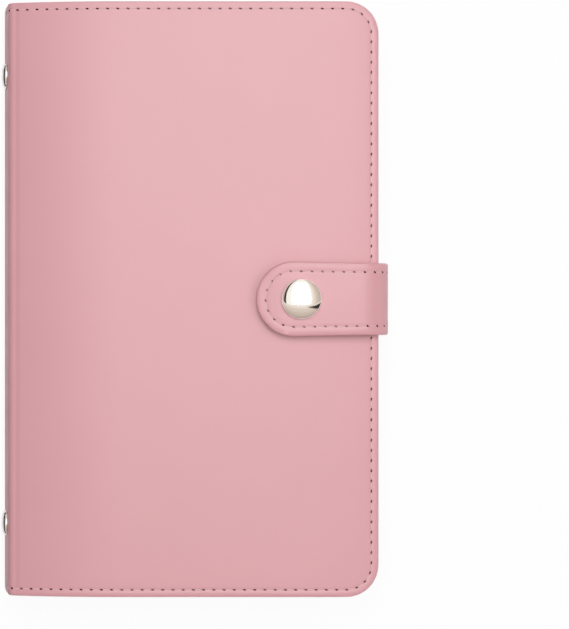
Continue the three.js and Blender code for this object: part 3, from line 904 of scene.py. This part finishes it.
def grain(material, shader, coordinates, size_mm, depth_mm, strength):
    """Pebbled grain of a leather-like skin."""
    cells = add_node(material, "ShaderNodeTexVoronoi", [(coordinates, "Vector")],
                     feature="SMOOTH_F1", Scale=1000 / size_mm, Smoothness=0.6)
    bump = add_node(material, "ShaderNodeBump", [(cells.outputs["Distance"], "Height")],
                    Strength=strength, Distance=depth_mm / 1000)
    material.node_tree.links.new(bump.outputs["Normal"], shader.inputs["Normal"])


def coated_cloth(name, colour, patches, patch_size, roughness, ior, space="UV"):
    """Embossed, coated cloth: two close pinks in slow patches, under a very fine pebble."""
    material, shader = new_material(name, colour, Roughness=roughness, IOR=ior)
    coordinates = mottle(material, shader, *patches, patch_size, 0.35, space)
    grain(material, shader, coordinates, 0.5, 0.04, 0.3)
    return material


# Polyurethane-coated leather, embossed and matte: even pink with a very fine pebble
pu_leather = coated_cloth(
    "pink_polyurethane_leather", "#E0A3AA", ("#E1A4AB", "#DEA1A8"), 30, 0.42, 1.6)
# The same coated cloth, flatter, as it lines the inside
pu_lining = coated_cloth("pink_lining_cloth", "#DBA3A9", ("#DCA5AB", "#D7A0A6"), 22, 0.6, 1.48)
# The stiff coated strip that the rivets clamp inside the spine
pu_strip = coated_cloth(
    "pink_binding_strip", "#D69DA4", ("#D89FA6", "#D39AA1"), 16, 0.6, 1.48, "Object")
# Spun polyester thread, a little lighter than the leather
thread, shader = new_material("pink_polyester_thread", "#ECC2C6", Roughness=0.7)
coordinates = add_node(thread, "ShaderNodeTexCoord")
twist = add_node(thread, "ShaderNodeTexWave", [(coordinates.outputs["Object"], "Vector")],
                 bands_direction="DIAGONAL", Scale=1400.0, Distortion=0.0)
bump = add_node(thread, "ShaderNodeBump", [(twist.outputs["Color"], "Height")],
                Strength=0.4, Distance=0.00006)
thread.node_tree.links.new(bump.outputs["Normal"], shader.inputs["Normal"])
# Needle hole: painted shade, a dark red that stands in for the shade inside each hole
painted_hole_shade, shader = new_material("needle_hole_painted_shade", "#3A121C", Roughness=1.0, IOR=1.1)
mottle(painted_hole_shade, shader, "#421722", "#2E0D16", 1.0, 0.3, "Object")
# Bright nickel plate on pressed brass, polished
nickel, shader = new_material("polished_nickel_plate", "#F6F3F0", Metallic=1.0, Roughness=0.07)
coordinates = add_node(nickel, "ShaderNodeTexCoord")
haze = add_node(nickel, "ShaderNodeTexNoise", [(coordinates.outputs["Object"], "Vector")],
                Scale=900.0, Detail=2.0)
spread = add_node(nickel, "ShaderNodeMapRange", [(haze.outputs["Fac"], "Value")],
                  To_Min=0.05, To_Max=0.11)
nickel.node_tree.links.new(spread.outputs["Result"], shader.inputs["Roughness"])
# Frosted polypropylene film, welded at the edges
film, shader = new_material("frosted_polypropylene_film", "#F4F6F7", Roughness=0.3, IOR=1.46,
                            Transmission_Weight=0.35)
coordinates = add_node(film, "ShaderNodeTexCoord")
ripple = add_node(film, "ShaderNodeTexNoise", [(coordinates.outputs["Object"], "Vector")],
                  Scale=60.0, Detail=1.0)
bump = add_node(film, "ShaderNodeBump", [(ripple.outputs["Fac"], "Height")],
                Strength=0.15, Distance=0.0004)
film.node_tree.links.new(bump.outputs["Normal"], shader.inputs["Normal"])
# Greyboard: pressed waste-paper fibre
greyboard, shader = new_material("greyboard", "#B3A48C", Roughness=0.92)
mottle(greyboard, shader, "#BDAE96", "#A2937B", 1.2, 0.25, "Object")


def give(material, *pieces):
    for piece in pieces:
        piece.data.materials.clear()
        piece.data.materials.append(material)


cover_seams = {half: [*outer_seam[half], *inner_seam[half]] for half in outer_seam}
give(pu_leather, *leather.values(), *(strap_pieces[half][0] for half in strap_pieces))
give(pu_lining, *lining.values(), *(strap_pieces[half][1] for half in strap_pieces))
give(thread, *(cover_seams[half][i] for half in cover_seams for i in (0, 2)),
     *(strap_seams[half][i] for half in strap_seams for i in (0, 2)))
give(painted_hole_shade, *(cover_seams[half][i] for half in cover_seams for i in (1, 3)),
     *(strap_seams[half][1] for half in strap_seams))
give(nickel, snap_cap, snap_socket, snap_stud, snap_ring, *rivets)
give(film, *leaves)


def repaint(material, *names):
    for name in names:
        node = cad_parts[name]
        for slot in node.material_slots:
            slot.material = material


repaint(greyboard, "front_cover_board", "back_cover_board")
repaint(pu_strip, "binding_strip")
repaint(nickel, "rivet_back_top", "rivet_back_bottom")

# Back, leaf, snap and rivet pieces are put on their bodies, the others baked into the frame, and the parts
# they stand for hidden
for piece in (leather["back"], lining["back"], *cover_seams["back"]):
    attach(piece, "back")
for piece in (leather["front"], lining["front"], *cover_seams["front"]):
    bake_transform(piece)
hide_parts("back_and_spine_leather")
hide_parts("front_cover_leather")
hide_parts("back_and_spine_lining")
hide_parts("front_cover_lining")
for leaf in leaves:
    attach(leaf, "back")
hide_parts("sleeve_pages")
for piece in strap_pieces["lower"] + strap_seams["lower"]:
    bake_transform(piece)
for piece in strap_pieces["upper"] + strap_seams["upper"]:
    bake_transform(piece)
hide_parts("strap_anchor_face", "strap_wrap_face")
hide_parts("strap_anchor_backing", "strap_wrap_backing")
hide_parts("strap_tongue_face")
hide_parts("strap_tongue_backing")
for piece, node_name, body in (
        (snap_cap, "snap_cap", "strap_tongue"), (snap_socket, "snap_socket", "strap_tongue"),
        (snap_stud, "snap_stud", "front_cover"), (snap_ring, "snap_stud_ring", "front_cover"),
        (rivets[0], "rivet_cap_top", "back"), (rivets[1], "rivet_cap_bottom", "back")):
    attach(piece, body)
    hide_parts(node_name)

# Floor, cards, lamps and camera
FLOOR_SIZE = 6
FLOOR_LEVEL = -0.00002
FLOOR_GLOW = 0.93
# White paint takes the wallet's shadow, and a glow that only the camera sees keeps the sheet white
floor_material, paint = new_material("white_sweep", "#FFFFFF", Roughness=0.9)
rays = add_node(floor_material, "ShaderNodeLightPath")
glow = add_node(floor_material, "ShaderNodeEmission", Strength=1.0)
seen = add_node(floor_material, "ShaderNodeMath", [(rays.outputs["Is Camera Ray"], 0)],
                operation="MULTIPLY")
seen.inputs[1].default_value = FLOOR_GLOW
mixed = add_node(floor_material, "ShaderNodeMixShader", [
    (seen.outputs["Value"], "Fac"), (paint.outputs["BSDF"], 1), (glow.outputs["Emission"], 2)])
floor_nodes = floor_material.node_tree
floor_nodes.links.new(mixed.outputs["Shader"], floor_nodes.nodes["Material Output"].inputs["Surface"])
deselect()
bpy.ops.mesh.primitive_plane_add(size=FLOOR_SIZE, location=(0, 0, FLOOR_LEVEL))
floor = bpy.context.object
floor.name = "floor"
give(floor_material, floor)

world = bpy.data.worlds.new("soft_room")
bpy.context.scene.world = world
world.use_nodes = True
room = world.node_tree.nodes["Background"]
room.inputs["Color"].default_value = (1, 1, 1, 1)
# The room is white to the camera, to metal and through film, and dim as a light on the rest
rays = add_node(world, "ShaderNodeLightPath")
shown = add_node(world, "ShaderNodeMath", [
    (rays.outputs["Is Camera Ray"], 0), (rays.outputs["Is Glossy Ray"], 1)], operation="MAXIMUM")
through = add_node(world, "ShaderNodeMath", [
    (shown.outputs["Value"], 0), (rays.outputs["Is Transmission Ray"], 1)], operation="MAXIMUM")
level = add_node(world, "ShaderNodeMapRange", [(through.outputs["Value"], "Value")],
                 To_Min=0.18, To_Max=1.0)
world.node_tree.links.new(level.outputs["Result"], room.inputs["Strength"])

# Lamps and cards, in metres
CEILING = 2.0


def overhead(name, x, y, radiance, seen_in_metal=True):
    """A softbox that hangs level over the wallet, from x[0] to x[1] and y[0] to y[1], in metres."""
    data = bpy.data.lights.new(name, "AREA")
    data.shape = "RECTANGLE"
    data.size = x[1] - x[0]
    data.size_y = y[1] - y[0]
    data.energy = radiance * math.pi * data.size * data.size_y
    lamp = bpy.data.objects.new(name, data)
    bpy.context.collection.objects.link(lamp)
    lamp.location = (sum(x) / 2, sum(y) / 2, CEILING)
    lamp.visible_glossy = seen_in_metal


overhead("main_softbox", (-0.46, 0.5), (-0.2, 1.4), 5.3)
overhead("right_fill", (0.8, 2.4), (-1.4, 1.2), 1.5, seen_in_metal=False)


def card(name, x, y, colour, corners=4, turn=0.0, z=CEILING + 0.01):
    """A level studio card that only shiny surfaces see: a rectangle, or a wedge whose point is first."""
    material, shader = new_material(name, "#000000", Roughness=1.0)
    shader.inputs["Emission Color"].default_value = linear(colour)
    shader.inputs["Emission Strength"].default_value = 1.0
    deselect()
    if corners == 3:
        # A triangle of radius 1 is 1.5 long and the square root of 3 wide
        bpy.ops.mesh.primitive_circle_add(
            vertices=3, radius=1, fill_type="NGON", rotation=(0, 0, math.pi / 2))
        bpy.ops.object.transform_apply(location=False, rotation=True, scale=False)
        sheet = bpy.context.object
        length, width = x[1] - x[0], y[1] - y[0]
        sheet.scale = (length / 1.5, width / math.sqrt(3), 1)
        reach = length * 2 / 3
        middle_y = sum(y) / 2
        sheet.location = (x[0] + reach * math.cos(turn), middle_y + reach * math.sin(turn), z)
    else:
        bpy.ops.mesh.primitive_plane_add(size=1)
        sheet = bpy.context.object
        sheet.scale = (x[1] - x[0], y[1] - y[0], 1)
        sheet.location = (sum(x) / 2, sum(y) / 2, z)
    sheet.name = name
    sheet.rotation_euler = (0, 0, turn)
    give(material, sheet)
    sheet.visible_camera = False
    sheet.visible_diffuse = False
    sheet.visible_shadow = False
    sheet.visible_transmission = False


NEAR_Y = -0.35
card("dark_wedge", (0.36, 9.4), (-2.1, 1.3), "#2A211D",
     corners=3, turn=math.radians(-16), z=CEILING - 0.02)
for step, (x, colour) in enumerate((
        ((-9, -2.0), "#D0B3AB"), ((-2.0, -1.2), "#3A2E29"), ((-1.2, -0.42), "#FFFDF6"),
        ((0.5, 0.6), "#FFFDF6"), ((0.6, 0.72), "#F8F0E6"), ((0.72, 0.88), "#F0E4D8"),
        ((0.88, 1.1), "#E4D6C9"), ((1.1, 1.5), "#D6C7B9"), ((1.5, 2.4), "#CABBAD"),
        ((2.4, 9), "#C2B4A6"))):
    card(f"side_card_{step}", x, (NEAR_Y, 9), colour)
card("back_card", (-0.42, 0.5), (1.6, 9), "#FFFDF6")
card("floor_strip", (-3, -0.075), (-3, 3), "#1E1815", z=0.0005)
for step, (y, colour) in enumerate((
        ((-0.25, -0.2), "#FFFBF2"), ((-0.3, -0.25), "#FCF6EC"), ((NEAR_Y, -0.3), "#F8F0E4"))):
    card(f"near_card_{step}", (-0.42, 0.5), y, colour)
for step, (y, colour) in enumerate((
        ((-0.44, NEAR_Y), "#F0E6DA"), ((-0.56, -0.44), "#E8DCD0"), ((-0.9, -0.56), "#DDCFC3"),
        ((-1.6, -0.9), "#CFC0B3"), ((-3.2, -1.6), "#BFAFA3"), ((-9, -3.2), "#AD9A8F"))):
    card(f"lower_card_{step}", (-9, 9), y, colour)

# The camera looks straight down; its scale is that of the front cover's face
PICTURE_WIDTH_PX = 569
MM_PER_PX = 0.3103
SENSOR_WIDTH = 36.0
CAMERA_HEIGHT = 600.0
CAMERA_X = 89.71
CAMERA_Y = -4.76
camera_data = bpy.data.cameras.new("camera")
camera_data.sensor_fit = "HORIZONTAL"
camera_data.sensor_width = SENSOR_WIDTH
camera_data.lens = SENSOR_WIDTH * CAMERA_HEIGHT / (PICTURE_WIDTH_PX * MM_PER_PX)
camera_data.clip_start = 0.01
camera = bpy.data.objects.new("camera", camera_data)
bpy.context.collection.objects.link(camera)
camera.location = to_frame((CAMERA_X, CAMERA_Y, CLOSED_THICKNESS + CAMERA_HEIGHT))
bpy.context.scene.camera = camera
bpy.context.scene.view_settings.view_transform = "Standard"
